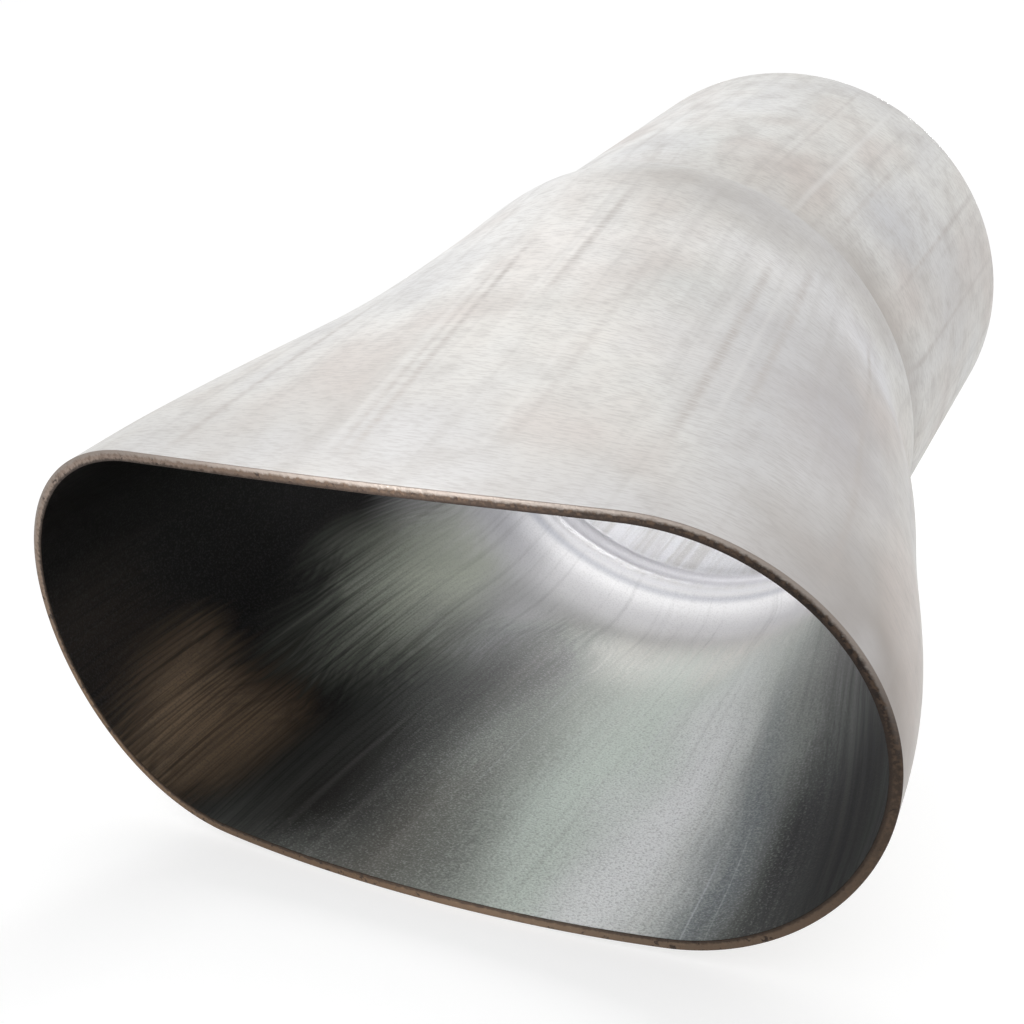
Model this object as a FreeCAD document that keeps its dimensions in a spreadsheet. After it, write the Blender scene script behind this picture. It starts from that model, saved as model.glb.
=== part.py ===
import FreeCAD, Part
import math
import os
import Sketcher
from FreeCAD import Vector

# Exhaust collector cone: two primary pipes side by side run into one round outlet.
# It is one tube of thin steel, pressed flat and wide at the mouth, rounded up to a
# shoulder, drawn in at a neck and sized to a round collar. All sizes are millimetres.
# The sketches have the cone's own axis as +Z, with the rim's crown at zero and the collar last.
# The cone is then laid down as it rests on a bench: mouth to -Y, collar to +Y, +Z up.

SIZES = {
    "collar_diameter": 63.5,
    "wall_thickness": 1.2,
    "overall_length": 120.0,
    "mouth_width": 97.0,
    "mouth_height": 48.1,
    "rim_bow_radius": 250.0,
    "shoulder_step": 1.25,
    "shoulder_depth": 65.0,
    "shoulder_land": 2.5,
    "neck_step": 1.0,
    "neck_run": 7.0,
    "collar_lead": 6.0,
    "trim_allowance": 0.2,
    "seam_angle": 44.0,
}

# The shoulder stands out beyond the collar by its step, and the neck lies inside it by its own.
DERIVED = {
    "shoulder_diameter": "collar_diameter + 2 * shoulder_step",
    "neck_diameter": "collar_diameter - 2 * neck_step",
}

# How the oval mouth eases into the round shoulder. Each station lies at a share of the way
# from the rim to the shoulder, and keeps a share of what the mouth still differs by. Its bow
# is how much smaller than half the height the end's radius is, as a share of how much wider
# than high the oval is: none leaves the long sides straight, and more bows them out.
STATIONS = [
    {"depth": 0.0, "width": 1.0, "height": 1.0, "bow": 0.0225},
    {"depth": 0.138, "width": 0.948, "height": 0.867, "bow": 0.065},
    {"depth": 0.277, "width": 0.862, "height": 0.742, "bow": 0.115},
    {"depth": 0.554, "width": 0.539, "height": 0.483, "bow": 0.273},
    {"depth": 0.800, "width": 0.245, "height": 0.222, "bow": 0.608},
    {"depth": 0.923, "width": 0.052, "height": 0.070, "bow": 0.688},
]

doc = FreeCAD.newDocument("CollectorCone")
sheet = doc.addObject("Spreadsheet::Sheet", "sizes")


def put(row, name, value):
    sheet.set("A%d" % row, name)
    sheet.set("B%d" % row, str(value))
    sheet.setAlias("B%d" % row, name)


cells = dict(SIZES)
for name, formula in DERIVED.items():
    cells[name] = "=" + formula
for number, station in enumerate(STATIONS):
    for key, share in station.items():
        cells["station_%s_%d" % (key, number)] = share
for row, (name, value) in enumerate(cells.items(), start=1):
    put(row, name, value)
doc.recompute()


# Values and expressions of the oval at each depth

def size(name):
    """A size as it stands: a set one, or one that the sheet works out from those."""
    return float(sheet.get(name))


def eased(key, number):
    """Half the width or height of an oval, between the shoulder's and the mouth's: value and expression."""
    shoulder = size("shoulder_diameter") / 2
    mouth = size("mouth_" + key) / 2
    value = shoulder + size("station_%s_%d" % (key, number)) * (mouth - shoulder)
    expression = (
        "sizes.shoulder_diameter / 2 + sizes.station_{0}_{1}"
        " * (sizes.mouth_{0} - sizes.shoulder_diameter) / 2"
    ).format(key, number)
    return value, expression


def oval_stations():
    """Depth, half width, half height and end radius of each oval: value and expression."""
    ovals = []
    for number in range(len(STATIONS)):
        width, wide = eased("width", number)
        height, high = eased("height", number)
        bow = size("station_bow_%d" % number)
        ovals.append({
            "depth": "sizes.shoulder_depth * sizes.station_depth_%d" % number,
            "width": (width, wide),
            "height": (height, high),
            "corner": (
                height - bow * (width - height),
                "{h} - sizes.station_bow_{n} * (({w}) - ({h}))".format(h=high, w=wide, n=number),
            ),
        })
    # The mouth is lofted a little too long, and the rim is then trimmed to its bow.
    ovals[0]["depth"] = "-sizes.trim_allowance"
    return ovals


def side_radius(width, height, corner):
    """Radius of the long sides that are tangent to both round ends of an oval."""
    return ((width - corner) ** 2 + height ** 2 - corner ** 2) / (2 * (height - corner))


# Sketches

def new_sketch(name, depth_expression=None):
    """A sketch across the axis at a depth, or, with no depth, in the upright plane through it."""
    sketch = doc.addObject("Sketcher::SketchObject", name)
    if depth_expression:
        sketch.setExpression("Placement.Base.z", depth_expression)
    else:
        sketch.Placement.Rotation = FreeCAD.Rotation(Vector(1, 0, 0), 90)
    return sketch


def drive(sketch, constraint, name, expression):
    index = sketch.addConstraint(constraint)
    sketch.renameConstraint(index, name)
    sketch.setExpression("Constraints." + name, expression)


def four_arcs(sketch, centres, radii, angle):
    """Right, top, left and bottom arc, joined end to end and mirrored about both axes."""
    spans = [
        (-angle, angle),
        (angle, math.pi - angle),
        (math.pi - angle, math.pi + angle),
        (math.pi + angle, 2 * math.pi - angle),
    ]
    for (across, up), radius, (first, last) in zip(centres, radii, spans):
        circle = Part.Circle(Vector(across, up, 0), Vector(0, 0, 1), radius)
        sketch.addGeometry(Part.ArcOfCircle(circle, first, last), False)
    sketch.addConstraint(Sketcher.Constraint("Coincident", 1, 2, 2, 1))
    sketch.addConstraint(Sketcher.Constraint("Coincident", 2, 2, 3, 1))
    sketch.addConstraint(Sketcher.Constraint("Coincident", 3, 2, 0, 1))
    sketch.addConstraint(Sketcher.Constraint("Symmetric", 0, 2, 1, 2, -2))
    sketch.addConstraint(Sketcher.Constraint("Symmetric", 0, 2, 0, 1, -1))
    sketch.addConstraint(Sketcher.Constraint("Symmetric", 1, 2, 2, 2, -1))


def oval_sketch(name, oval, inset, inset_expression):
    """A flat oval of two round ends and two long, slightly bowed sides."""
    width, height, corner = (oval[key][0] for key in ("width", "height", "corner"))
    wide, high, round_end = (oval[key][1] for key in ("width", "height", "corner"))
    side = side_radius(width, height, corner)
    side_expression = "((({w}) - ({c})) ^ 2 + ({h}) ^ 2 - ({c}) ^ 2) / (2 * (({h}) - ({c})))".format(
        w=wide, h=high, c=round_end)
    reach = width - corner
    drop = side - height
    angle = math.atan2(drop, reach)
    sketch = new_sketch(name, oval["depth"])
    centres = [(reach, 0), (0, -drop), (-reach, 0), (0, drop)]
    end, long_side = corner - inset, side - inset
    four_arcs(sketch, centres, [end, long_side, end, long_side], angle)
    sketch.addConstraint(Sketcher.Constraint("Tangent", 0, 2, 1, 1))
    sketch.addConstraint(Sketcher.Constraint("Equal", 0, 2))
    sketch.addConstraint(Sketcher.Constraint("Equal", 1, 3))
    drive(sketch, Sketcher.Constraint("Radius", 0, end), "end_radius",
          "(%s) - %s" % (round_end, inset_expression))
    drive(sketch, Sketcher.Constraint("Radius", 1, long_side), "side_radius",
          "(%s) - %s" % (side_expression, inset_expression))
    drive(sketch, Sketcher.Constraint("DistanceX", -1, 1, 0, 3, reach), "end_centre",
          "(%s) - (%s)" % (wide, round_end))
    return sketch


def round_sketch(name, depth_expression, inset, inset_expression):
    """The round shoulder, split into the same four arcs as the ovals."""
    radius = size("shoulder_diameter") / 2 - inset
    angle = math.radians(SIZES["seam_angle"])
    sketch = new_sketch(name, depth_expression)
    four_arcs(sketch, [(0, 0)] * 4, [radius] * 4, angle)
    sketch.addConstraint(Sketcher.Constraint("Coincident", 0, 2, 1, 1))
    sketch.addConstraint(Sketcher.Constraint("PointOnObject", 0, 3, -2))
    sketch.addConstraint(Sketcher.Constraint("PointOnObject", 1, 3, -1))
    sketch.addConstraint(Sketcher.Constraint("PointOnObject", 2, 3, -2))
    sketch.addConstraint(Sketcher.Constraint("PointOnObject", 3, 3, -1))
    drive(sketch, Sketcher.Constraint("Radius", 0, radius), "radius",
          "sizes.shoulder_diameter / 2 - %s" % inset_expression)
    drive(sketch, Sketcher.Constraint("DistanceY", -1, 1, 0, 2, radius * math.sin(angle)), "seam_height",
          "(sizes.shoulder_diameter / 2 - %s) * sin(sizes.seam_angle * 1 deg)" % inset_expression)
    return sketch


def cone_loft(name, inset, inset_expression):
    """The oval-to-round form, from in front of the rim to the end of the shoulder's land."""
    profiles = []
    for number, oval in enumerate(oval_stations()):
        profiles.append(oval_sketch("%s_oval_%d" % (name, number), oval, inset, inset_expression))
    depths = ["sizes.shoulder_depth", "sizes.shoulder_depth + sizes.shoulder_land"]
    for number, depth in enumerate(depths):
        profiles.append(round_sketch("%s_round_%d" % (name, number), depth, inset, inset_expression))
    loft = doc.addObject("Part::Loft", name)
    loft.Sections = profiles
    loft.Solid = True
    loft.Ruled = False
    loft.MaxDegree = 3
    return loft


def spout_sketch(name, inset, inset_expression):
    """Half section of shoulder land, neck and collar: radius across, depth up."""
    shoulder = size("shoulder_diameter") / 2 - inset
    neck = size("neck_diameter") / 2 - inset
    collar = SIZES["collar_diameter"] / 2 - inset
    start = SIZES["shoulder_depth"] + SIZES["shoulder_land"]
    waist = start + SIZES["neck_run"]
    sleeve = waist + SIZES["collar_lead"]
    finish = SIZES["overall_length"]
    sketch = new_sketch(name)

    def arc(centre, radius, first, last):
        circle = Part.Circle(Vector(centre[0], centre[1], 0), Vector(0, 0, 1), radius)
        return Part.ArcOfCircle(circle, first, last)

    # Each S-shaped step is two tangent arcs that meet at half its height.
    fall = SIZES["shoulder_step"] + SIZES["neck_step"]
    fall_bend = (fall ** 2 + SIZES["neck_run"] ** 2) / (4 * fall)
    rise = SIZES["neck_step"]
    rise_bend = (rise ** 2 + SIZES["collar_lead"] ** 2) / (4 * rise)
    crest_radius = fall_bend - inset
    waist_radius = fall_bend + inset
    lead_radius = rise_bend + inset
    sleeve_radius = rise_bend - inset
    fall_turn = 2 * math.atan(fall / SIZES["neck_run"])
    rise_turn = 2 * math.atan(rise / SIZES["collar_lead"])
    crest_centre = (shoulder - crest_radius, start)
    waist_centre = (neck + waist_radius, waist)
    lead_centre = (neck + lead_radius, waist)
    sleeve_centre = (collar - sleeve_radius, sleeve)
    shapes = [
        Part.LineSegment(Vector(0, start, 0), Vector(shoulder, start, 0)),
        arc(crest_centre, crest_radius, 0, fall_turn),
        arc(waist_centre, waist_radius, math.pi, math.pi + fall_turn),
        arc(lead_centre, lead_radius, math.pi - rise_turn, math.pi),
        arc(sleeve_centre, sleeve_radius, -rise_turn, 0),
        Part.LineSegment(Vector(collar, sleeve, 0), Vector(collar, finish, 0)),
        Part.LineSegment(Vector(collar, finish, 0), Vector(0, finish, 0)),
        Part.LineSegment(Vector(0, finish, 0), Vector(0, start, 0)),
    ]
    for shape in shapes:
        sketch.addGeometry(shape, False)
    joins = [
        ("Coincident", 0, 2, 1, 1),
        ("Tangent", 1, 2, 2, 2),
        ("Tangent", 2, 1, 3, 2),
        ("Tangent", 3, 1, 4, 1),
        ("Tangent", 4, 2, 5, 1),
        ("Coincident", 5, 2, 6, 1),
        ("Coincident", 6, 2, 7, 1),
        ("Coincident", 7, 2, 0, 1),
        ("Horizontal", 0),
        ("Horizontal", 6),
        ("Vertical", 5),
        ("PointOnObject", 7, 1, -2),
        ("PointOnObject", 7, 2, -2),
    ]
    for join in joins:
        sketch.addConstraint(Sketcher.Constraint(*join))
    # The crest's centre stands level with the land's end, so the land runs into it smoothly.
    sketch.addConstraint(Sketcher.Constraint("Horizontal", 1, 3, 0, 2))
    depth = "sizes.shoulder_depth + sizes.shoulder_land"
    waist_depth = depth + " + sizes.neck_run"
    drive(sketch, Sketcher.Constraint("DistanceY", -1, 1, 0, 2, start), "start", depth)
    drive(sketch, Sketcher.Constraint("DistanceY", -1, 1, 2, 1, waist), "waist", waist_depth)
    drive(sketch, Sketcher.Constraint("DistanceY", -1, 1, 5, 1, sleeve), "sleeve",
          waist_depth + " + sizes.collar_lead")
    drive(sketch, Sketcher.Constraint("DistanceY", -1, 1, 5, 2, finish), "finish", "sizes.overall_length")
    drive(sketch, Sketcher.Constraint("DistanceX", -1, 1, 0, 2, shoulder), "shoulder_radius",
          "sizes.shoulder_diameter / 2 - %s" % inset_expression)
    drive(sketch, Sketcher.Constraint("DistanceX", -1, 1, 2, 1, neck), "neck_radius",
          "sizes.neck_diameter / 2 - %s" % inset_expression)
    drive(sketch, Sketcher.Constraint("DistanceX", -1, 1, 5, 1, collar), "collar_radius",
          "sizes.collar_diameter / 2 - %s" % inset_expression)
    bend_expression = "({step} ^ 2 + sizes.{run} ^ 2) / (4 * {step}) - {inset}"
    drive(sketch, Sketcher.Constraint("Radius", 1, crest_radius), "crest_bend", bend_expression.format(
        step="(sizes.shoulder_step + sizes.neck_step)", run="neck_run", inset=inset_expression))
    drive(sketch, Sketcher.Constraint("Radius", 4, sleeve_radius), "sleeve_bend", bend_expression.format(
        step="sizes.neck_step", run="collar_lead", inset=inset_expression))
    return sketch


def spout(name, inset, inset_expression):
    """The turned form from the shoulder's land through the neck to the end of the collar."""
    turned = doc.addObject("Part::Revolution", name)
    turned.Source = spout_sketch(name + "_profile", inset, inset_expression)
    turned.Axis = Vector(0, 0, 1)
    turned.Base = Vector(0, 0, 0)
    turned.Angle = 360
    turned.Solid = True
    return turned


def joined(kind, name, first, second):
    result = doc.addObject(kind, name)
    result.Base = first
    result.Tool = second
    return result


def whole_form(name, inset, inset_expression):
    cone = cone_loft(name + "_cone", inset, inset_expression)
    return joined("Part::Fuse", name, cone, spout(name + "_spout", inset, inset_expression))


def bow_cylinder():
    """The drum that the mouth is trimmed to, lying across the cone with its side at the rim's crown."""
    drum = doc.addObject("Part::Cylinder", "rim_bow")
    drum.setExpression("Radius", "sizes.rim_bow_radius")
    drum.setExpression("Height", "2 * sizes.mouth_width")
    drum.Placement.Rotation = FreeCAD.Rotation(Vector(1, 0, 0), 90)
    drum.setExpression("Placement.Base.y", "sizes.mouth_width")
    drum.setExpression("Placement.Base.z", "sizes.rim_bow_radius")
    return drum


outside = whole_form("outside", 0.0, "0")
inside = whole_form("inside", SIZES["wall_thickness"], "sizes.wall_thickness")
blank = joined("Part::Cut", "blank", outside, inside)
cone = joined("Part::Common", "collector_cone", blank, bow_cylinder())
cone.Label = "collector_cone"

# Laid on the bench, the lower long side of the rim and the shoulder both touch it.
tilt = "atan((sizes.shoulder_diameter - sizes.mouth_height) / (2 * sizes.shoulder_depth))"
cone.setExpression("Placement.Rotation.Axis.x", "1")
cone.setExpression("Placement.Rotation.Axis.y", "0")
cone.setExpression("Placement.Rotation.Axis.z", "0")
cone.setExpression("Placement.Rotation.Angle", "-90 deg + " + tilt)
rest_height = "sizes.mouth_height / 2 * cos(%s)" % tilt
cone.setExpression("Placement.Base.z", rest_height)
reach = "sizes.overall_length * cos({0}) + (sizes.collar_diameter - sizes.mouth_height) / 2 * sin({0})"
cone.setExpression("Placement.Base.y", "-(%s) / 2" % reach.format(tilt))
doc.recompute()

# Between those two the cone swells a hair below the bench, so it is lifted by that much.
put(len(cells) + 1, "bench_lift", -cone.Shape.optimalBoundingBox().ZMin)
cone.setExpression("Placement.Base.z", rest_height + " + sizes.bench_lift")
doc.recompute()

# Every step has to be sound, and each cut has to take something away, before anything is written.
for item in doc.Objects:
    if "Invalid" in item.State or "Error" in item.State:
        raise RuntimeError("%s did not build: %s" % (item.Name, item.State))
steps = [outside, blank, cone]
if any(later.Shape.Volume > earlier.Shape.Volume - 1 for earlier, later in zip(steps, steps[1:])):
    raise RuntimeError("the hollow or the trim took nothing away")
if cone.Shape.isNull() or not cone.Shape.isValid() or len(cone.Shape.Solids) != 1:
    raise RuntimeError("the cone is not one valid solid")

os.makedirs("parts", exist_ok=True)
cone.Shape.exportStep("parts/%s.step" % cone.Label)
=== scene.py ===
import math

import bpy
import numpy as np
from mathutils import Matrix, Vector


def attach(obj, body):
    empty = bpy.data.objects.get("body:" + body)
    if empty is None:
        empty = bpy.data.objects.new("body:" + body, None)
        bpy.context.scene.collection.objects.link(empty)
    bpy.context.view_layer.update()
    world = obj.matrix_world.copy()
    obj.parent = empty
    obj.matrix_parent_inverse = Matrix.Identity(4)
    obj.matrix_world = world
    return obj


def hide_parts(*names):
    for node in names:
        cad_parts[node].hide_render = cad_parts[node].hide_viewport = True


# Exhaust collector cone: one formed steel tube, flat oval mouth to round collar.
# Sizes are in millimetres along the cone's own axis, as in the part's source, and are
# turned into metres in the shared frame when the mesh is made.

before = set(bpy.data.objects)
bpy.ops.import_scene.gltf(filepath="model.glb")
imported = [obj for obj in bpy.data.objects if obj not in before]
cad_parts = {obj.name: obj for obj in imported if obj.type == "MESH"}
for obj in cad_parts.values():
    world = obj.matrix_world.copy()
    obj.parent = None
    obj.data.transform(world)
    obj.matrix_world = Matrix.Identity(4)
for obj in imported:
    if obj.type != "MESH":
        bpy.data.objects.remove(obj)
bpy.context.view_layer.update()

MILLIMETRE = 0.001
COLLAR_DIAMETER = 63.5
WALL = 1.2
LENGTH = 120.0
MOUTH_WIDTH = 97.0
MOUTH_HEIGHT = 48.1
RIM_BOW = 250.0
SHOULDER_STEP = 1.25
SHOULDER_DIAMETER = COLLAR_DIAMETER + 2 * SHOULDER_STEP
SHOULDER_DEPTH = 65.0
SHOULDER_LAND = 2.5
NECK_STEP = 1.0
NECK_DIAMETER = COLLAR_DIAMETER - 2 * NECK_STEP
NECK_RUN = 7.0
COLLAR_LEAD = 6.0
# The first section lies this far in front of the mouth.
TRIM = 0.2
# The cone is raised by this much, so that its lowest edge clears the floor.
BENCH_LIFT = 0.095
# The skin is drawn this far inside the part's own, so that no rounding takes it outside.
SKIN_INSET = 0.03
# Depth, width and height shares, and how far the long sides bow out, as in the part's source.
STATIONS = (
    (0.0, 1.0, 1.0, 0.0225),
    (0.138, 0.948, 0.867, 0.065),
    (0.277, 0.862, 0.742, 0.115),
    (0.554, 0.539, 0.483, 0.273),
    (0.800, 0.245, 0.222, 0.608),
    (0.923, 0.052, 0.070, 0.688),
)

# The mouth's width falls this much for each millimetre of depth, just behind the rim.
MOUTH_FLARE = -0.155
# A section that is this near to round is drawn as an oval that is hardly one.
ROUND_ENOUGH = 0.001
# The rows are straight across the cone by this depth behind the bowed rim.
RIM_EASE = 40.0
# The rim's own depth is found in this many passes, since its width and its depth hang together.
RIM_PASSES = 6
COLUMNS = 400
# Rows of one wall: first depth, last depth and count, closer together where it bends.
ROW_SPANS = ((0.0, 4.0, 14), (4.0, 62.0, 46), (62.0, 82.0, 30), (82.0, LENGTH, 22))
EDGE_ROUND = 0.12
# Rows across a cut edge: degrees round each corner, and shares of the flat between them.
CORNER_TURNS = (0.0, 30.0, 60.0, 90.0)
FLAT_SHARES = (0.25, 0.5, 0.75)

TILT = math.atan((SHOULDER_DIAMETER - MOUTH_HEIGHT) / (2 * SHOULDER_DEPTH))
BASE_Y = -(LENGTH * math.cos(TILT) + (COLLAR_DIAMETER - MOUTH_HEIGHT) / 2 * math.sin(TILT)) / 2
BASE_Z = MOUTH_HEIGHT / 2 * math.cos(TILT) + BENCH_LIFT

# The skin's own coordinates, in millimetres: a tube of this radius, with the depth along it.
SKIN_RADIUS = SHOULDER_DIAMETER / 2


# Shape of the wall

def smooth_curve(knots, values, first_slope=None):
    """A cubic spline through the values, as a function. Its ends are straight, or the first has a slope."""
    knots = np.array(knots, float)
    values = np.array(values, float)
    count = len(knots)
    gaps = np.diff(knots)
    slopes = np.diff(values) / gaps
    system = np.eye(count)
    right = np.zeros(count)
    if first_slope is not None:
        system[0, :2] = 2 * gaps[0], gaps[0]
        right[0] = 6 * (slopes[0] - first_slope)
    for i in range(1, count - 1):
        system[i, i - 1:i + 2] = gaps[i - 1], 2 * (gaps[i - 1] + gaps[i]), gaps[i]
        right[i] = 6 * (slopes[i] - slopes[i - 1])
    bend = np.linalg.solve(system, right)

    def at(x):
        i = np.clip(np.searchsorted(knots, x) - 1, 0, count - 2)
        step = gaps[i]
        low = (knots[i + 1] - x) / step
        high = (x - knots[i]) / step
        straight = low * values[i] + high * values[i + 1]
        return straight + ((low ** 3 - low) * bend[i] + (high ** 3 - high) * bend[i + 1]) * step ** 2 / 6

    return at


def oval_curves():
    """Half width, half height and end radius of the oval part, each as a function of the depth."""
    shoulder = SHOULDER_DIAMETER / 2
    depths = []
    widths = []
    heights = []
    ends = []
    for depth, width_share, height_share, bow in STATIONS:
        width = shoulder + width_share * (MOUTH_WIDTH / 2 - shoulder)
        height = shoulder + height_share * (MOUTH_HEIGHT / 2 - shoulder)
        depths.append(depth * SHOULDER_DEPTH if depth else -TRIM)
        widths.append(width)
        heights.append(height)
        ends.append(height - bow * (width - height))
    for depth in (SHOULDER_DEPTH, SHOULDER_DEPTH + SHOULDER_LAND):
        depths.append(depth)
        widths.append(shoulder)
        heights.append(shoulder)
        ends.append(shoulder)
    width_at = smooth_curve(depths, widths, MOUTH_FLARE)
    return width_at, smooth_curve(depths, heights), smooth_curve(depths, ends)


WIDTH_AT, HEIGHT_AT, END_AT = oval_curves()


def step_between(distance, run, first, last):
    """Two tangent arcs that lead from one radius to the other in this run, as the radius at each distance."""
    rise = abs(last - first)
    bend = (rise ** 2 + run ** 2) / (4 * rise)
    distance = np.clip(distance, 0.0, run)
    early = bend - np.sqrt(bend ** 2 - np.minimum(distance, run / 2) ** 2)
    late = rise - bend + np.sqrt(bend ** 2 - np.minimum(run - distance, run / 2) ** 2)
    moved = np.where(distance < run / 2, early, late)
    return first + math.copysign(1, last - first) * moved


def round_radius(depth):
    """Outside radius of the turned part: land, neck and collar."""
    land_end = SHOULDER_DEPTH + SHOULDER_LAND
    waist = land_end + NECK_RUN
    fall = step_between(depth - land_end, NECK_RUN, SHOULDER_DIAMETER / 2, NECK_DIAMETER / 2)
    rise = step_between(depth - waist, COLLAR_LEAD, NECK_DIAMETER / 2, COLLAR_DIAMETER / 2)
    return np.where(depth < waist, fall, rise)


def section(depth, inset):
    """Half width, half height and end radius of the wall's section at each depth."""
    oval = depth < SHOULDER_DEPTH
    height = np.where(oval, HEIGHT_AT(depth), round_radius(depth))
    width = np.where(oval, np.maximum(WIDTH_AT(depth), height + ROUND_ENOUGH), height + ROUND_ENOUGH)
    end = np.where(oval, np.minimum(END_AT(depth), height - ROUND_ENOUGH / 2), height - ROUND_ENOUGH / 2)
    return width - inset, height - inset, end - inset


def outline(depth, inset, shares):
    """Points of the section at each depth and share of its length, from the +X end upwards."""
    width, height, end = section(depth, inset)
    side = ((width - end) ** 2 + height ** 2 - end ** 2) / (2 * (height - end))
    drop = side - height
    reach = width - end
    turn = np.arctan2(drop, reach)
    corner_length = end * turn
    quarter = corner_length + side * (math.pi / 2 - turn)
    along = shares % 1.0 * 4 * quarter
    fold = along % (2 * quarter)
    mirrored = fold > quarter
    run = np.where(mirrored, 2 * quarter - fold, fold)
    on_end = run <= corner_length
    end_angle = np.minimum(run, corner_length) / end
    side_angle = turn + np.maximum(run - corner_length, 0.0) / side
    across = np.where(on_end, reach + end * np.cos(end_angle), side * np.cos(side_angle))
    up = np.where(on_end, end * np.sin(end_angle), side * np.sin(side_angle) - drop)
    across = np.where(mirrored, -across, across)
    lower = along >= 2 * quarter
    across = np.where(lower, -across, across)
    up = np.where(lower, -up, up)
    return across, up


def rim_depth(across):
    """How far the bowed rim lies behind its own middle."""
    return RIM_BOW - np.sqrt(RIM_BOW ** 2 - across ** 2)


def to_frame(across, up, depth):
    """Metres in the shared frame, from the cone's own axes in millimetres."""
    y = -up * math.sin(TILT) + depth * math.cos(TILT) + BASE_Y
    z = up * math.cos(TILT) + depth * math.sin(TILT) + BASE_Z
    return np.stack([across, y, z], -1) * MILLIMETRE


# Mesh of the whole formed tube: outside, rim, inside and collar end

# Places of the three materials on the mesh.
OUTSIDE = 0
INSIDE = 1
CUT = 2


def depth_rows():
    """Depths of the rows of one wall."""
    rows = []
    for first, last, count in ROW_SPANS:
        rows.extend(np.linspace(first, last, count, endpoint=False))
    rows.append(LENGTH)
    return rows


def wall_rows(inset, shares):
    """Rows of points from the bowed rim to the collar's end, and their own depths."""
    rim = np.zeros(len(shares))
    for _ in range(RIM_PASSES):
        rim = rim_depth(outline(rim, inset, shares)[0])
    rows = []
    for depth in depth_rows():
        own = depth + rim * max(0.0, 1.0 - depth / RIM_EASE) ** 2
        across, up = outline(own, inset, shares)
        rows.append((across, up, own))
    return rows


shares = np.arange(COLUMNS) / COLUMNS
outer_rows = wall_rows(SKIN_INSET, shares)
inner_rows = wall_rows(WALL, shares)


def edge_steps():
    """Share of the way across a cut edge, and share of the rounding that it lies back by, of each row."""
    reach = EDGE_ROUND / WALL
    corner = []
    for turn in CORNER_TURNS:
        corner.append((reach * (1 - math.cos(math.radians(turn))), 1 - math.sin(math.radians(turn))))
    flat = [(reach + share * (1 - 2 * reach), 0.0) for share in FLAT_SHARES]
    return corner + flat + [(1 - share, back) for share, back in reversed(corner)]


def edge_rows(outer, inner, outward):
    """Rows across a cut edge, with both its corners a little rounded."""
    made = []
    for share, back in edge_steps():
        across = outer[0] * (1 - share) + inner[0] * share
        up = outer[1] * (1 - share) + inner[1] * share
        own = outer[2] * (1 - share) + inner[2] * share - outward * back * EDGE_ROUND
        made.append((across, up, own, share))
    return made


def build_cone():
    """The tube as one closed mesh. A ring has its material, its points, their depths and its wall share."""
    rings = []
    for row in reversed(outer_rows[1:-1]):
        rings.append((OUTSIDE, *row, 0.0))
    for row in edge_rows(outer_rows[0], inner_rows[0], -1):
        rings.append((CUT, *row))
    for row in inner_rows[1:-1]:
        rings.append((INSIDE, *row, 1.0))
    for row in reversed(edge_rows(outer_rows[-1], inner_rows[-1], 1)):
        rings.append((CUT, *row))
    count = len(rings)
    faces = []
    slots = []
    for i in range(count):
        k = (i + 1) % count
        slot = rings[k][0] if rings[i][0] == CUT else rings[i][0]
        for j in range(COLUMNS):
            n = (j + 1) % COLUMNS
            faces.append((i * COLUMNS + j, k * COLUMNS + j, k * COLUMNS + n, i * COLUMNS + n))
            slots.append(slot)
    points = np.concatenate([to_frame(across, up, depth) for _, across, up, depth, _ in rings])
    mesh = bpy.data.meshes.new("collector_shell")
    mesh.from_pydata(points.tolist(), [], faces)
    mesh.validate()
    mesh.polygons.foreach_set("material_index", slots)
    mesh.polygons.foreach_set("use_smooth", [True] * len(faces))
    turns = shares * 2 * math.pi
    around = SKIN_RADIUS * np.cos(turns), SKIN_RADIUS * np.sin(turns)
    places = np.concatenate([np.stack([*around, depth], -1) for _, _, _, depth, _ in rings])
    skin = mesh.attributes.new("skin", "FLOAT_VECTOR", "POINT")
    skin.data.foreach_set("vector", places.astype(np.float32).ravel())
    wall = mesh.attributes.new("wall", "FLOAT", "POINT")
    wall.data.foreach_set("value", np.repeat([ring[-1] for ring in rings], COLUMNS).astype(np.float32))
    mesh.update()
    shell = bpy.data.objects.new("collector_shell", mesh)
    bpy.context.scene.collection.objects.link(shell)
    return shell


shell = build_cone()


# Nodes

WHITE = (1, 1, 1, 1)
# Directions of the skin's coordinates.
DOWN_THE_TUBE = (0, 0, 1)
TO_THE_TOP = (0, 1, 0)
# The middle of a noise's values.
NOISE_MIDDLE = 0.5
# A stain ends a little beyond its own half width and half length.
PATCH_END = 1.1
# A drawn line fades this far to each side of both its ends.
LINE_FADE = 5.0


def colour(red, green, blue):
    """A colour written as it looks, in 0 to 255, turned into the shader's linear values."""
    def linear(value):
        value = value / 255
        return value / 12.92 if value <= 0.04045 else ((value + 0.055) / 1.055) ** 2.4
    return (linear(red), linear(green), linear(blue), 1.0)


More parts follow.
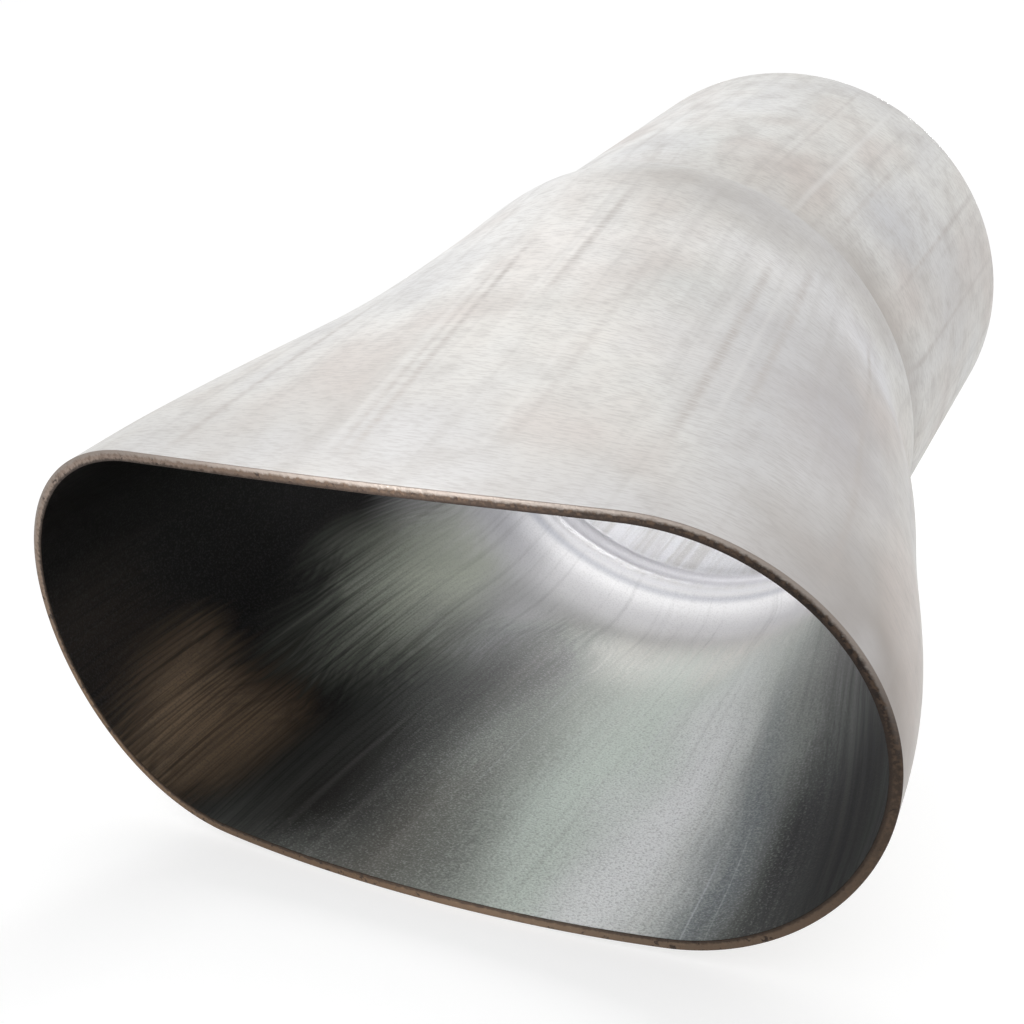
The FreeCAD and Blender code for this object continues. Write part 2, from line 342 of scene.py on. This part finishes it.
class Nodes:
    """Short calls for the nodes of one material, or of the surroundings."""

    def __init__(self, tree, output):
        self.tree = tree
        self.tree.nodes.clear()
        self.output = self.tree.nodes.new(output)

    def join(self, value, socket):
        if isinstance(value, bpy.types.NodeSocket):
            self.tree.links.new(value, socket)
        else:
            socket.default_value = value

    def node(self, kind, **inputs):
        made = self.tree.nodes.new(kind)
        for name, value in inputs.items():
            self.join(value, made.inputs[name.replace("_", " ")])
        return made

    def show(self, shader):
        self.tree.links.new(shader.outputs[0], self.output.inputs["Surface"])

    def math(self, operation, first, second=0.0):
        made = self.tree.nodes.new("ShaderNodeMath")
        made.operation = operation
        self.join(first, made.inputs[0])
        self.join(second, made.inputs[1])
        return made.outputs[0]

    def times(self, first, second):
        return self.math("MULTIPLY", first, second)

    def vector(self, operation, first, second=(0, 0, 0)):
        made = self.tree.nodes.new("ShaderNodeVectorMath")
        made.operation = operation
        self.join(first, made.inputs[0])
        self.join(second, made.inputs[1])
        return made.outputs["Value" if operation in ("LENGTH", "DOT_PRODUCT") else "Vector"]

    def attribute(self, name, output):
        made = self.tree.nodes.new("ShaderNodeAttribute")
        made.attribute_type = "GEOMETRY"
        made.attribute_name = name
        return made.outputs[output]

    def grain(self, vector, around, along, detail, rough=0.5):
        """A noise node whose grains are this many millimetres long, around the tube and along it."""
        scaled = self.vector("MULTIPLY", vector, (1 / around, 1 / around, 1 / along))
        return self.node("ShaderNodeTexNoise", Vector=scaled, Scale=1.0, Detail=detail, Roughness=rough)

    def noise(self, vector, around, along, detail, rough):
        return self.grain(vector, around, along, detail, rough).outputs["Fac"]

    def wander(self, vector, around, along, detail, reach):
        """The same coordinates, pushed about a little, so that what is placed by them has ragged edges."""
        pushed = self.grain(vector, around, along, detail).outputs["Color"]
        pushed = self.vector("SUBTRACT", pushed, (NOISE_MIDDLE, NOISE_MIDDLE, NOISE_MIDDLE))
        return self.vector("ADD", vector, self.vector("MULTIPLY", pushed, reach))

    def between(self, value, low, high, start=0.0, end=1.0):
        """The first share at the low value, the last at the high one, and a smooth step between them."""
        made = self.tree.nodes.new("ShaderNodeMapRange")
        made.interpolation_type = "SMOOTHSTEP"
        self.join(value, made.inputs["Value"])
        made.inputs["From Min"].default_value = low
        made.inputs["From Max"].default_value = high
        made.inputs["To Min"].default_value = start
        made.inputs["To Max"].default_value = end
        return made.outputs["Result"]

    def window(self, value, low, high, soft):
        """One between the two values, nothing beyond them."""
        opened = self.between(value, low - soft, low + soft)
        return self.times(opened, self.between(value, high - soft, high + soft, 1.0, 0.0))

    def patch(self, vector, turn, depth, wide, long, strength):
        """A soft spot on the skin: its place in degrees and depth, and its half width and half length."""
        angle = math.radians(turn)
        place = (SKIN_RADIUS * math.cos(angle), SKIN_RADIUS * math.sin(angle), depth)
        away = self.vector("SUBTRACT", vector, place)
        away = self.vector("LENGTH", self.vector("MULTIPLY", away, (1 / wide, 1 / wide, 1 / long)))
        return self.between(away, 0.0, PATCH_END, strength, 0.0)

    def lay_spots(self, vector, base, table):
        """The base with all the spots of a table laid over it."""
        for turn, depth, wide, long, strength, tone in table:
            base = self.mix(self.patch(vector, turn, depth, wide, long, strength), base, colour(*tone))
        return base

    def lengthwise(self, vector, turn, slant, wide, first, last, strength):
        """A thin line down the skin at one turn, from one depth to another."""
        angle = math.radians(turn)
        side = self.vector("DOT_PRODUCT", vector, (-math.sin(angle), math.cos(angle), slant))
        side = self.math("ABSOLUTE", self.math("SUBTRACT", side, slant * (first + last) / 2))
        front = self.vector("DOT_PRODUCT", vector, (math.cos(angle), math.sin(angle), 0))
        depth = self.vector("DOT_PRODUCT", vector, DOWN_THE_TUBE)
        drawn = self.times(self.between(side, 0.0, wide, strength, 0.0), self.between(front, 0.0, 1.0))
        return self.times(drawn, self.window(depth, first, last, LINE_FADE))

    def marks(self, vector, table):
        """All the lines of a table, as one mask."""
        drawn = 0.0
        for line in table:
            drawn = self.math("MAXIMUM", drawn, self.lengthwise(vector, *line))
        return drawn

    def mix(self, share, first, second):
        made = self.tree.nodes.new("ShaderNodeMix")
        made.data_type = "RGBA"
        self.join(share, made.inputs["Factor"])
        self.join(first, made.inputs["A"])
        self.join(second, made.inputs["B"])
        return made.outputs["Result"]

    def bump(self, height, distance, normal=None):
        made = self.node("ShaderNodeBump", Height=height, Distance=distance, Strength=1.0)
        if normal is not None:
            self.join(normal, made.inputs["Normal"])
        return made.outputs["Normal"]

    def finish(self, base, metallic, roughness, normal):
        self.show(self.node("ShaderNodeBsdfPrincipled", Base_Color=base, Metallic=metallic,
                            Roughness=roughness, Normal=normal))

    def white_rays(self):
        """One for the rays that see the surroundings as white: camera, glossy and transmission rays."""
        rays = self.tree.nodes.new("ShaderNodeLightPath")
        seen = self.math("MAXIMUM", rays.outputs["Is Camera Ray"], rays.outputs["Is Glossy Ray"])
        return self.math("MAXIMUM", seen, rays.outputs["Is Transmission Ray"])


def material(name):
    """A new material and its nodes."""
    made = bpy.data.materials.new(name)
    made.use_nodes = True
    return made, Nodes(made.node_tree, "ShaderNodeOutputMaterial")


# Steel. A pattern is written as its grain around the tube and along it in millimetres, its detail and its
# roughness. A share is written as the two values that it goes between, and what it is at each of them.
# A band is written as the depths where it starts and ends, and how soft its ends are.

# Painted light and shade of the outside, laid as spots: turn, depth, half width, half length, strength,
# colour.
OUTSIDE_LIGHT_AND_SHADE = (
    # painted shade: greyer steel near the mouth, in three overlapping parts
    (112, 2, 22, 16, 0.6, (205, 202, 200)),
    (75, 2, 22, 14, 0.6, (203, 200, 199)),
    (35, 0, 22, 16, 0.5, (190, 184, 184)),
    (12, 5, 18, 20, 0.95, (134, 122, 114)),
    # painted shade on the lavender grey flank, and the warm grey beside it
    (33, 34, 15, 34, 0.9, (184, 179, 180)),
    (10, 30, 10, 40, 0.6, (209, 203, 198)),
    # painted light on the top, in lighter and warmer patches
    (62, 31, 12, 9, 0.7, (238, 233, 227)),
    (92, 46, 15, 11, 0.8, (239, 235, 230)),
    (78, 46, 13, 12, 0.6, (246, 243, 240)),
    (118, 24, 14, 16, 0.5, (234, 230, 226)),
    (66, 44, 10, 7, 0.5, (209, 212, 210)),
    # painted shade above the mouth, where the small lamp reaches
    (90, 11, 26, 18, 0.6, (206, 203, 200)),
    # painted light: cool pale bands beside the flank
    (20, 55, 10, 10, 0.6, (226, 227, 231)),
    # painted light: brighter steel along the upper left
    (122, 60, 25, 50, 1.0, (255, 255, 254)),
    (108, 98, 22, 34, 0.8, (252, 252, 251)),
    # painted shade: darker beige before the shoulder
    (66, 65, 20, 9, 0.8, (188, 183, 178)),
    (36, 69, 18, 8, 0.7, (186, 180, 176)),
    (22, 75, 22, 5, 0.7, (160, 152, 146)),
    # painted highlight: pale crest before the shoulder
    (26, 57, 13, 8, 0.7, (232, 231, 235)),
    (50, 55, 18, 6, 0.7, (240, 238, 237)),
    # collar: painted shade, greyer on the right, and a painted highlight on top
    (36, 88, 10, 12, 0.7, (197, 197, 201)),
    (60, 82, 9, 12, 0.6, (206, 198, 191)),
    (84, 86, 10, 16, 0.6, (219, 221, 216)),
    (16, 100, 9, 24, 0.5, (212, 209, 209)),
    (8, 98, 16, 28, 0.5, (198, 193, 190)),
    (92, 94, 14, 28, 0.7, (252, 252, 250)),
)

# Draw marks of the outside: turn, slant, half width, first and last depth, strength.
OUTSIDE_DRAWS = (
    (26.5, 0.0, 0.7, 6, 60, 0.8),
    (45.0, 0.01, 0.8, 24, 60, 0.7),
    (45.5, 0.0, 0.7, 76, 102, 0.6),
    (52.5, 0.0, 0.9, 14, 54, 0.9),
    (72.0, 0.0, 0.8, 8, 46, 0.45),
    (85.0, 0.0, 0.8, 36, 60, 0.8),
    (94.5, -0.06, 0.7, 5, 46, 0.9),
    (96.6, -0.06, 0.5, 5, 42, 0.6),
    (121.0, 0.02, 0.8, 4, 36, 0.8),
    (9.0, 0.0, 0.6, 76, 118, 0.7),
    (26.0, 0.0, 0.7, 78, 118, 0.8),
    (66.0, 0.0, 0.5, 80, 118, 0.5),
)

# Lighter lines that were rubbed bright beside the draw marks, in the same terms.
OUTSIDE_RUBS = (
    (55.0, 0.0, 0.7, 16, 60, 0.2),
    (56.0, 0.0, 0.8, 74, 118, 0.35),
    (48.5, 0.0, 0.5, 20, 56, 0.2),
    (87.5, 0.0, 0.6, 30, 60, 0.2),
    (75.0, 0.0, 0.6, 8, 40, 0.15),
    (98.5, -0.06, 0.6, 5, 48, 0.2),
)

# The spots' ragged edges: grain around and along, detail, and how far they are pushed.
OUTSIDE_RAGGED = (10.0, 9.0, 3.0, (11.0, 11.0, 9.0))
OUTSIDE_PLAIN = colour(233, 232, 228)
# Slow change between warm and cool steel.
WARMTH = (16, 22, 2, 0.5)
WARM_SHARE = (0.45, 0.7, 0.0, 0.55)
WARM_STEEL = colour(211, 200, 194)
COOL_SHARE = (0.55, 0.3, 0.0, 0.5)
COOL_STEEL = colour(218, 218, 220)
# Blotches of thin scale, stronger on the collar.
MOTTLE = (4.0, 4.5, 4, 0.6)
MOTTLE_SHARE = (0.42, 0.72)
MOTTLE_BY_DEPTH = (70, 84, 0.2, 0.36)
MOTTLE_TONE = colour(190, 184, 180)
# Streaks along the tube, and short strokes around it.
OUTSIDE_STREAK = (1.6, 60, 2, 0.5)
OUTSIDE_STREAK_SHARE = (0.5, 0.75, 0.0, 0.22)
OUTSIDE_STREAK_TONE = colour(190, 186, 183)
OUTSIDE_STROKES = (1.3, 0.22, 2, 0.65)
OUTSIDE_STROKE_SHARE = (0.42, 0.68, 0.0, 0.32)
OUTSIDE_STROKE_TONE = colour(176, 171, 168)
# The neck's hollow is a little darker: painted shade in the recess, with some grime.
HOLLOW_BAND = (73.0, 77.5, 2.5)
HOLLOW_SHARE = 0.25
HOLLOW_SHADE_AND_GRIME = colour(190, 182, 175)
RUB_TONE = colour(240, 239, 237)
# The draw marks are broken up by fine ticks.
TICKS = (2.2, 0.3, 2, 0.6)
TICK_SHARE = (0.4, 0.64, 0.3, 1.0)
DRAW_TONE = colour(195, 189, 185)
# Heights in metres: slow dents, and the fine relief of strokes, streaks and draw marks, with their shares.
DENTS = (20, 26, 1, 0.4)
DENT_HEIGHT = 0.0003
OUTSIDE_RELIEF = 0.00002
STROKE_RELIEF = 0.7
STREAK_RELIEF = 0.3
DRAW_RELIEF = 0.6
OUTSIDE_METALLIC = 0.45
OUTSIDE_ROUGHNESS = (0.3, 0.7, 0.44, 0.54)


def outside_steel():
    made, n = material("steel_outside")
    skin = n.attribute("skin", "Vector")
    depth = n.vector("DOT_PRODUCT", skin, DOWN_THE_TUBE)
    # painted light and shade laid as spots over the plain steel
    base = n.lay_spots(n.wander(skin, *OUTSIDE_RAGGED), OUTSIDE_PLAIN, OUTSIDE_LIGHT_AND_SHADE)
    warmth = n.noise(skin, *WARMTH)
    base = n.mix(n.between(warmth, *WARM_SHARE), base, WARM_STEEL)
    base = n.mix(n.between(warmth, *COOL_SHARE), base, COOL_STEEL)
    mottle = n.noise(skin, *MOTTLE)
    scale = n.times(n.between(mottle, *MOTTLE_SHARE), n.between(depth, *MOTTLE_BY_DEPTH))
    base = n.mix(scale, base, MOTTLE_TONE)
    streak = n.noise(skin, *OUTSIDE_STREAK)
    base = n.mix(n.between(streak, *OUTSIDE_STREAK_SHARE), base, OUTSIDE_STREAK_TONE)
    strokes = n.noise(skin, *OUTSIDE_STROKES)
    base = n.mix(n.between(strokes, *OUTSIDE_STROKE_SHARE), base, OUTSIDE_STROKE_TONE)
    # painted shade, with some grime, in the neck's hollow
    base = n.mix(n.times(n.window(depth, *HOLLOW_BAND), HOLLOW_SHARE), base, HOLLOW_SHADE_AND_GRIME)
    base = n.mix(n.marks(skin, OUTSIDE_RUBS), base, RUB_TONE)
    drawn = n.times(n.marks(skin, OUTSIDE_DRAWS), n.between(n.noise(skin, *TICKS), *TICK_SHARE))
    base = n.mix(drawn, base, DRAW_TONE)
    dents = n.bump(n.noise(skin, *DENTS), DENT_HEIGHT)
    height = n.math("ADD", n.times(strokes, STROKE_RELIEF), n.times(streak, STREAK_RELIEF))
    height = n.math("SUBTRACT", height, n.times(drawn, DRAW_RELIEF))
    normal = n.bump(height, OUTSIDE_RELIEF, dents)
    n.finish(base, OUTSIDE_METALLIC, n.between(mottle, *OUTSIDE_ROUGHNESS), normal)
    return made


# Painted light and shade of the inside, and a brown patch: turn, depth, half width, half length, strength,
# colour.
INSIDE_LIGHT_SHADE_AND_TONES = (
    # painted light on the lower wall, greenish grey, brighter to the right
    (268, 26, 12, 48, 0.8, (160, 166, 158)),
    (284, 24, 13, 52, 0.9, (226, 238, 228)),
    (300, 18, 8, 48, 1.0, (253, 255, 255)),
    # painted warm light before the neck
    (284, 68, 30, 20, 1.0, (255, 250, 244)),
    (220, 68, 24, 18, 0.9, (226, 226, 226)),
    (248, 46, 9, 14, 0.6, (116, 112, 116)),
    # painted shade on the right side
    (338, 12, 16, 34, 0.95, (18, 16, 17)),
    (324, 12, 7, 30, 0.8, (48, 47, 49)),
    (313, 14, 4, 44, 0.7, (128, 136, 144)),
    (330, 48, 10, 16, 0.7, (130, 127, 127)),
    # painted light in a greenish pale patch of the left, and a black spot of painted shade
    (218, 48, 13, 24, 0.95, (206, 212, 196)),
    (232, 58, 10, 18, 0.7, (196, 196, 198)),
    (199, 30, 7, 14, 0.9, (14, 12, 12)),
    # a brown patch, and painted shade in black beside it
    (210, 11, 11, 17, 1.0, (168, 143, 116)),
    (186, 8, 11, 14, 0.6, (56, 45, 37)),
    (256, 6, 9, 26, 0.7, (92, 84, 75)),
    (240, 14, 11, 36, 1.0, (24, 19, 16)),
    (249, 34, 10, 32, 0.5, (58, 56, 54)),
    (269, 6, 9, 20, 0.5, (96, 94, 88)),
)

# Bright scratches of the inside, in the same terms as the draw marks.
INSIDE_SCRATCHES = (
    (311.5, 0.0, 0.16, 0, 14, 0.7),
    (315.0, 0.01, 0.13, 2, 18, 0.45),
    (306.0, -0.01, 0.12, 8, 30, 0.3),
    (262.0, 0.01, 0.14, 20, 48, 0.3),
    (288.0, 0.0, 0.14, 28, 60, 0.3),
)

# The spots' soft edges, then their fine lengthwise fringe, in the same terms as outside.
INSIDE_RAGGED = (12.0, 24.0, 1.0, (9.0, 9.0, 20.0))
INSIDE_FRINGE = (0.5, 60.0, 2.0, (1.7, 1.7, 10.0))
# The inside is painted light around this turn, and painted dark as shade on the far side of it.
LIT_TURN = 285
LIT_SHARE = (0.4, 1.05)
INSIDE_SHADE_DARK = colour(17, 15, 15)
LIT_METAL = colour(200, 206, 199)
# Painted light on the way to the neck, greyer as painted shade on the shaded side.
THROAT_SHARE = (59, 68)
THROAT_BY_SIDE = (0.3, 0.8)
THROAT_SHADED = colour(192, 192, 196)
THROAT_LIT = colour(250, 249, 250)
INSIDE_STREAK = (0.9, 50, 3, 0.6)
INSIDE_STREAK_SHARE = (0.5, 0.8, 0.0, 0.16)
INSIDE_STREAK_TONE = colour(50, 46, 44)
# Fine dark lines on the shaded side, up to the neck.
DARK_LINES = (0.34, 26, 3, 0.6)
DARK_LINE_SHARE = (0.4, 0.7, 0.0, 0.6)
DARK_LINES_BY_SIDE = (0.95, 0.5)
DARK_LINES_BY_DEPTH = (60, 35)
DARK_LINE_TONE = colour(12, 10, 9)
# Faint pale lines on the lit side.
PALE = (2.2, 90, 2, 0.5)
PALE_SHARE = (0.55, 0.8, 0.0, 0.1)
PALE_BY_SIDE = (0.0, 0.6)
PALE_TONE = colour(210, 208, 202)
# Collar, in lengthwise bands of two greys.
COLLAR_BANDS = (1.6, 34, 3, 0.6)
COLLAR_BAND_SHARE = (0.35, 0.65)
COLLAR_DARK = colour(192, 190, 190)
COLLAR_LIGHT = colour(214, 214, 218)
COLLAR_SHARE = (73.5, 76)
# Rings round the tube: the collar's lead, and a dark line of painted shade and a bright line of painted
# highlight just before the neck's crest.
LEAD_BAND = (75.2, 80.0, 0.8)
LEAD_SHARE = 0.9
LEAD_TONE = colour(226, 225, 230)
SHADE_BAND = (71.7, 72.6, 0.5)
SHADE_SHARE = 0.45
SHADE_TONE = colour(160, 164, 178)
CREST_BAND = (73.1, 74.0, 0.5)
CREST_SHARE = 0.8
CREST_HIGHLIGHT = colour(252, 252, 255)
SCRATCH_TONE = colour(214, 218, 222)
# Fine grain, fainter towards the neck, with painted glints on the lit side.
INSIDE_STROKES = (0.24, 0.22, 2, 0.6)
GRAIN_SHARE = (0.45, 0.7, 0.0, 0.34)
GRAIN_BY_DEPTH = (66, 30, 0.3, 1.0)
GRAIN_TONE = colour(70, 70, 70)
SPARKLE_SHARE = (0.48, 0.3, 0.0, 0.25)
SPARKLE_BY_SIDE = (0.6, 0.95)
PAINTED_GLINT_TONE = colour(250, 252, 250)
INSIDE_RELIEF = 0.00004
INSIDE_METALLIC = 0.4
INSIDE_ROUGHNESS = (0.3, 0.7, 0.42, 0.52)


def inside_steel():
    made, n = material("steel_inside")
    skin = n.attribute("skin", "Vector")
    depth = n.vector("DOT_PRODUCT", skin, DOWN_THE_TUBE)
    loose = n.wander(n.wander(skin, *INSIDE_RAGGED), *INSIDE_FRINGE)
    lit_angle = math.radians(LIT_TURN)
    facing = n.vector("DOT_PRODUCT", loose, (math.cos(lit_angle) / SKIN_RADIUS, math.sin(lit_angle) / SKIN_RADIUS, 0))
    # painted shade on the far side, painted light round the lit turn, then painted light and shade in spots
    base = n.mix(n.between(facing, *LIT_SHARE), INSIDE_SHADE_DARK, LIT_METAL)
    base = n.lay_spots(loose, base, INSIDE_LIGHT_SHADE_AND_TONES)
    # painted light on the way to the neck, greyer as painted shade on the shaded side
    throat = n.mix(n.between(facing, *THROAT_BY_SIDE), THROAT_SHADED, THROAT_LIT)
    base = n.mix(n.between(depth, *THROAT_SHARE), base, throat)
    streak = n.noise(skin, *INSIDE_STREAK)
    base = n.mix(n.between(streak, *INSIDE_STREAK_SHARE), base, INSIDE_STREAK_TONE)
    dark_lines = n.times(n.between(n.noise(skin, *DARK_LINES), *DARK_LINE_SHARE), n.between(facing, *DARK_LINES_BY_SIDE))
    base = n.mix(n.times(dark_lines, n.between(depth, *DARK_LINES_BY_DEPTH)), base, DARK_LINE_TONE)
    pale = n.times(n.between(n.noise(skin, *PALE), *PALE_SHARE), n.between(facing, *PALE_BY_SIDE))
    base = n.mix(pale, base, PALE_TONE)
    bands = n.noise(skin, *COLLAR_BANDS)
    collar = n.mix(n.between(bands, *COLLAR_BAND_SHARE), COLLAR_DARK, COLLAR_LIGHT)
    base = n.mix(n.between(depth, *COLLAR_SHARE), base, collar)
    lead = n.window(depth, *LEAD_BAND)
    base = n.mix(n.times(lead, LEAD_SHARE), base, LEAD_TONE)
    base = n.mix(n.times(n.window(depth, *SHADE_BAND), SHADE_SHARE), base, SHADE_TONE)
    # painted highlight just before the neck's crest
    base = n.mix(n.times(n.window(depth, *CREST_BAND), CREST_SHARE), base, CREST_HIGHLIGHT)
    base = n.mix(n.marks(skin, INSIDE_SCRATCHES), base, SCRATCH_TONE)
    strokes = n.noise(skin, *INSIDE_STROKES)
    grain = n.times(n.between(strokes, *GRAIN_SHARE), n.between(depth, *GRAIN_BY_DEPTH))
    base = n.mix(grain, base, GRAIN_TONE)
    # painted glints of the grain on the lit side
    glints = n.times(n.between(strokes, *SPARKLE_SHARE), n.between(facing, *SPARKLE_BY_SIDE))
    base = n.mix(glints, base, PAINTED_GLINT_TONE)
    height = n.math("ADD", n.times(strokes, STROKE_RELIEF), n.times(streak, STREAK_RELIEF))
    # the collar's lead is dull, so that the lamp behind leaves no glare on it
    metallic = n.times(n.math("SUBTRACT", 1.0, lead), INSIDE_METALLIC)
    rough = n.math("MAXIMUM", n.between(streak, *INSIDE_ROUGHNESS), lead)
    n.finish(base, metallic, rough, n.bump(height, INSIDE_RELIEF))
    return made


# Tones of the cut edge round the mouth: turn, half width, strength, colour.
EDGE_TONES = (
    (150, 46, 0.9, (178, 160, 148)),
    (205, 30, 0.9, (136, 108, 78)),
    (262, 34, 0.9, (96, 76, 57)),
    (300, 22, 0.7, (102, 87, 72)),
    (95, 30, 0.85, (72, 59, 50)),
    (60, 30, 0.9, (58, 46, 38)),
    (20, 44, 1.0, (26, 18, 14)),
)

# They reach this far down the tube, so that the collar's end keeps its own tone.
EDGE_TONE_LENGTH = 60
EDGE_SHARE = (20, 60)
EDGE_BROWN = colour(128, 108, 90)
EDGE_GREY = colour(176, 171, 165)
# Saw marks and dark specks.
SAW = (0.5, 0.5, 3, 0.6)
SAW_SHARE = (0.4, 0.65, 0.0, 0.5)
SAW_TONE = colour(104, 84, 68)
SPECKS = (1.1, 1.1, 3, 0.7)
SPECK_SHARE = (0.58, 0.66, 0.0, 0.85)
SPECK_TONE = colour(40, 30, 25)
# Lines along both corners of the edge, made ragged by the saw marks.
SAW_PUSH = 0.5
INNER_SHARE = (0.6, 0.9, 0.0, 0.85)
INNER_TONE = colour(44, 34, 28)
OUTER_SHARE = (0.14, 0.0, 0.0, 0.6)
OUTER_TONE = colour(70, 55, 46)
# The outer corner is paler on the upper half.
PALE_CORNER_SHARE = (0.48, 0.16)
PALE_CORNER_BY_HEIGHT = (0.0, 12.0, 0.0, 0.8)
PALE_CORNER_TONE = colour(166, 156, 148)
EDGE_RELIEF = 0.0001
EDGE_METALLIC = 0.6
EDGE_ROUGHNESS = 0.6


def cut_steel():
    made, n = material("steel_cut")
    skin = n.attribute("skin", "Vector")
    wall = n.attribute("wall", "Fac")
    place = n.node("ShaderNodeTexCoord").outputs["Object"]
    place = n.vector("MULTIPLY", place, (1 / MILLIMETRE, 1 / MILLIMETRE, 1 / MILLIMETRE))
    depth = n.vector("DOT_PRODUCT", skin, DOWN_THE_TUBE)
    base = n.mix(n.between(depth, *EDGE_SHARE), EDGE_BROWN, EDGE_GREY)
    tones = [(turn, 0, wide, EDGE_TONE_LENGTH, strength, tone) for turn, wide, strength, tone in EDGE_TONES]
    base = n.lay_spots(skin, base, tones)
    saw = n.noise(place, *SAW)
    base = n.mix(n.between(saw, *SAW_SHARE), base, SAW_TONE)
    specks = n.noise(place, *SPECKS)
    base = n.mix(n.between(specks, *SPECK_SHARE), base, SPECK_TONE)
    ragged = n.math("ADD", wall, n.times(n.math("SUBTRACT", saw, NOISE_MIDDLE), SAW_PUSH))
    base = n.mix(n.between(ragged, *INNER_SHARE), base, INNER_TONE)
    base = n.mix(n.between(ragged, *OUTER_SHARE), base, OUTER_TONE)
    upper = n.between(n.vector("DOT_PRODUCT", skin, TO_THE_TOP), *PALE_CORNER_BY_HEIGHT)
    base = n.mix(n.times(n.between(ragged, *PALE_CORNER_SHARE), upper), base, PALE_CORNER_TONE)
    n.finish(base, EDGE_METALLIC, EDGE_ROUGHNESS, n.bump(n.math("ADD", saw, specks), EDGE_RELIEF))
    return made


# In the order of the mesh's places for them.
for made in (outside_steel(), inside_steel(), cut_steel()):
    shell.data.materials.append(made)

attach(shell, "root")
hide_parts("collector_cone")


# Floor, light and camera

FLOOR_HALF = 12.0
FLOOR_GREY = (0.5, 0.5, 0.5, 1)
# The glow that makes the lit floor white, for the rays that see it.
FLOOR_GLOW = 0.62
WORLD_LIGHT = 0.8
# Lamps: name, place, aim, width and height, power in watts, and spread in degrees.
LAMPS = (
    # shines through the collar into the cone
    ("through_collar", (-0.02, 0.30, 0.0735), (0, 0.039, 0.0376), (0.05, 0.05), 0.043, 30),
    # shines at the mouth from in front, close to the floor
    ("into_mouth", (0.03, -0.42, 0.016), (0, 0.0, 0.028), (0.03, 0.02), 0.028, 9),
    # soft light from above, the widest
    ("top_left", (-0.5, 0.35, 0.8), (0, 0, 0.03), (0.6, 0.6), 0.5, 180),
)


def floor():
    mesh = bpy.data.meshes.new("floor")
    size = FLOOR_HALF
    mesh.from_pydata([(-size, -size, 0), (size, -size, 0), (size, size, 0), (-size, size, 0)], [],
                     [(0, 1, 2, 3)])
    made = bpy.data.objects.new("floor", mesh)
    bpy.context.scene.collection.objects.link(made)
    paint, n = material("floor_paint")
    diffuse = n.node("ShaderNodeBsdfDiffuse", Color=FLOOR_GREY)
    glow = n.node("ShaderNodeEmission", Color=WHITE, Strength=n.times(n.white_rays(), FLOOR_GLOW))
    both = n.tree.nodes.new("ShaderNodeAddShader")
    n.tree.links.new(diffuse.outputs[0], both.inputs[0])
    n.tree.links.new(glow.outputs[0], both.inputs[1])
    n.show(both)
    mesh.materials.append(paint)


def lamp(name, place, aim, size, power, spread):
    data = bpy.data.lights.new(name, "AREA")
    data.shape = "RECTANGLE"
    data.size = size[0]
    data.size_y = size[1]
    data.energy = power
    data.spread = math.radians(spread)
    made = bpy.data.objects.new(name, data)
    bpy.context.scene.collection.objects.link(made)
    made.location = place
    made.rotation_mode = "QUATERNION"
    made.rotation_quaternion = (Vector(aim) - Vector(place)).to_track_quat("-Z", "Y")


def surroundings():
    """A white room, which lights the object a little less than it shows."""
    world = bpy.data.worlds.new("studio")
    bpy.context.scene.world = world
    world.use_nodes = True
    n = Nodes(world.node_tree, "ShaderNodeOutputWorld")
    level = n.node("ShaderNodeMapRange", Value=n.white_rays(), To_Min=WORLD_LIGHT, To_Max=1.0)
    n.show(n.node("ShaderNodeBackground", Color=WHITE, Strength=level.outputs["Result"]))


floor()
for row in LAMPS:
    lamp(*row)
surroundings()

# The camera was fitted to the photograph: place, directions, and focal length and width in pixels.
CAMERA_PLACE = Vector((0.0740, -0.1649, 0.0894))
CAMERA_RIGHT = Vector((0.881, 0.4678, -0.0618))
CAMERA_UP = Vector((-0.111, 0.3313, 0.937))
FOCAL_PIXELS = 1500
PHOTO_PIXELS = 1024
SENSOR_WIDTH = 36.0
camera_data = bpy.data.cameras.new("photo_camera")
camera_data.sensor_width = SENSOR_WIDTH
camera_data.lens = FOCAL_PIXELS / PHOTO_PIXELS * SENSOR_WIDTH
camera_data.clip_start = 0.005
camera_data.clip_end = 50.0
camera = bpy.data.objects.new("photo_camera", camera_data)
bpy.context.scene.collection.objects.link(camera)
right = CAMERA_RIGHT.normalized()
back_axis = right.cross(CAMERA_UP).normalized()
up_axis = back_axis.cross(right)
turn = Matrix((right, up_axis, back_axis)).transposed()
camera.matrix_world = Matrix.Translation(CAMERA_PLACE) @ turn.to_4x4()
bpy.context.scene.camera = camera

bpy.context.scene.view_settings.view_transform = "Standard"
